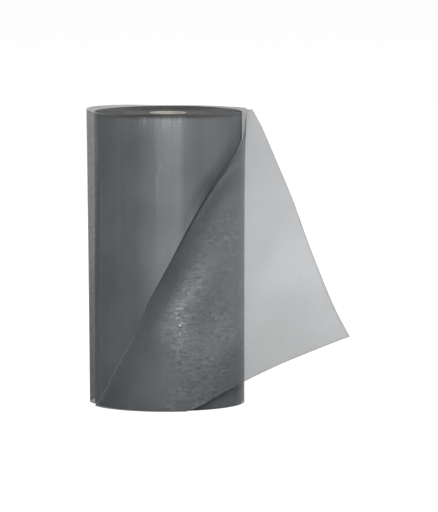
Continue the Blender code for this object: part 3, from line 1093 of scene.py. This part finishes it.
def turn_edges(finish):
    """The edges of the tight turns on the roll's end: one ridge carried along a flat spiral.

    The spiral's radius grows by one sheet in each turn. Its height follows the bands of turns
    that stand a little out of line, with a seeded step of its own for each turn.
    """
    turns = int((ROLL_RADIUS - TUBE_RADIUS - INNERMOST_GAP) / SHEET)
    steps = np.arange(turns * EDGE_COLUMNS + 1) / EDGE_COLUMNS
    travelled = 360 * steps
    centre = ROLL_RADIUS - OUTERMOST_INSET - SHEET * (turns - steps)
    lumps = wound_radius(travelled % 360) - (ROLL_RADIUS - ROOT_STEP * (1 - (steps % 1)))
    centre = centre + lumps * (centre / ROLL_RADIUS) ** EDGE_LUMP_FADE
    own = np.random.default_rng(EDGE_STEP_SEED).normal(0, EDGE_STEP, turns + 2)
    level = read(TOP_BANDS, "rise", centre) + np.interp(steps, np.arange(turns + 2), own)
    section = np.array(EDGE_SECTION)
    across, down = section[:, :1], section[:, 1:]
    points = np.empty((len(section), len(steps), 3))
    points[..., :2] = polar(ROOT_BEARING - travelled, centre[None] + across * SHEET)
    points[..., 2] = ROLL_WIDTH + level[None] * (down > -1) + down * EDGE_DEPTH
    crest = points[len(section) // 2, :, :2]
    length = np.concatenate([[0.0], np.cumsum(np.hypot(*np.diff(crest, axis=0).T))])
    rows = np.arange(len(section))[:, None] * EDGE_ROW
    flat = np.stack(np.broadcast_arrays(length[None], rows), axis=-1)
    bearing = (ROOT_BEARING - travelled + 180) % 360 - 180
    # Painted shade: a ring of turns at the front left and the last turns are darker
    ring = window(centre, *SHADED_RING) * window(bearing, *SHADED_RING_BEARINGS)
    light = (1 - RING_SHADE * ring) * (1 - LAST_DARKER * smooth_step(centre, *LAST_TURNS))
    light = np.broadcast_to(light, points.shape[:2])
    return grid_object("turn_edges", points, flat, finish, wrap_rows=True, light=light)


def board_tube(finish):
    """Board tube with rounded lips: its wall's outline, four quarter circles joined by straight
    lines, turned round the axis."""
    bearing = np.linspace(0, 360, TUBE_COLUMNS, endpoint=False)
    outer, inner, top = TUBE_RADIUS, TUBE_RADIUS - TUBE_WALL, ROLL_WIDTH - TUBE_SUNK
    lips = []
    for centre_radius, centre_height, start in (
        (outer - LIP, LIP, -90), (outer - LIP, top - LIP, 0),
        (inner + LIP, top - LIP, 90), (inner + LIP, LIP, 180),
    ):
        angle = np.radians(start + np.linspace(0, 90, LIP_STEPS))
        lip = [centre_radius + LIP * np.cos(angle), centre_height + LIP * np.sin(angle)]
        lips.append(np.stack(lip, axis=-1))
    outline = np.concatenate(lips)
    points = np.empty((len(outline), TUBE_COLUMNS, 3))
    points[..., :2] = polar(bearing[None], outline[:, :1])
    points[..., 2] = outline[:, 1:]
    around = np.radians(bearing) * TUBE_RADIUS
    flat = np.stack(np.broadcast_arrays(around, points[..., 2]), axis=-1)
    return grid_object("board_tube", points, flat, finish, True, True)


def camera():
    """Long lens at the photograph's angle: one pixel shows MM_PER_PIXEL at the roll's axis."""
    data = bpy.data.cameras.new("photo_camera")
    made = linked("photo_camera", data)
    rise = CAMERA_HEIGHT - AIM_HEIGHT
    focal_pixels = math.hypot(CAMERA_DISTANCE, rise) * 1000 / MM_PER_PIXEL
    data.sensor_width = SENSOR
    data.lens = SENSOR * focal_pixels / max(PHOTO_WIDTH, PHOTO_HEIGHT)
    data.clip_end = CAMERA_SEES
    made.location = (AXIS[0] + AIM_RIGHT, AXIS[1] - CAMERA_DISTANCE, CAMERA_HEIGHT)
    made.rotation_euler = (math.pi / 2 - math.atan2(rise, CAMERA_DISTANCE), 0.0, 0.0)
    bpy.context.scene.camera = made


def softbox(name, bearing, elevation, distance, size, power):
    """Oblong area light that faces the roll's middle from a bearing and elevation."""
    data = bpy.data.lights.new(name, "AREA")
    data.shape = "RECTANGLE"
    data.size, data.size_y = size
    data.energy = power
    made = linked(name, data)
    right, back = AXIS + polar(bearing, distance * math.cos(math.radians(elevation)))
    made.location = (right, back, ROLL_WIDTH / 2 + distance * math.sin(math.radians(elevation)))
    made.rotation_euler = (math.radians(90 - elevation), 0.0, math.radians(bearing))
    made.visible_camera = False


def studio():
    """Plain pale floor that runs past the frame, an even sky and the soft lights."""
    bpy.ops.mesh.primitive_circle_add(vertices=64, radius=FLOOR_RADIUS, fill_type="NGON")
    floor = bpy.context.object
    floor.name = "studio_floor"
    finish, _, _ = new_material("studio_floor", Base_Color=FLOOR_TINT, Roughness=FLOOR_ROUGHNESS,
                                Emission_Color=WHITE, Emission_Strength=FLOOR_LIFT)
    floor.data.materials.append(finish)
    floor.visible_glossy = False
    floor.visible_diffuse = False
    world = bpy.data.worlds.new("studio")
    world.use_nodes = True
    seen = Value(world.node_tree).node("ShaderNodeLightPath")
    background = world.node_tree.nodes["Background"]
    background.inputs["Color"].default_value = WHITE
    feed(background, "Strength", SKY + seen * (1 - SKY))
    bpy.context.scene.world = world
    for light in LIGHTS:
        softbox(*light)
    bpy.context.scene.view_settings.view_transform = "Standard"


def dress():
    single = screen_finish()
    wound = wound_finish()
    edges = edge_finish()
    board = board_finish()
    wire = wire_finish()
    sheet, points, warp_way = loose_screen(single)
    selvage = edge_wires(points, wire)
    ends_of_warp = cut_wire_ends(points, warp_way, wire)
    turns = wound_turns(wound)
    ends = turn_edges(edges)
    tube = board_tube(board)
    for piece, slot, node in (
        (sheet, "loose_screen", "loose_screen"),
        (selvage, "loose_screen", "loose_screen"),
        (ends_of_warp, "loose_screen", "loose_screen"),
        (turns, "wound_screen", "wound_roll"),
        (ends, "wound_screen", "wound_roll"),
        (tube, "tube_board", "core_tube"),
    ):
        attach(piece, "root")
        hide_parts(node)


dress()
camera()
studio()
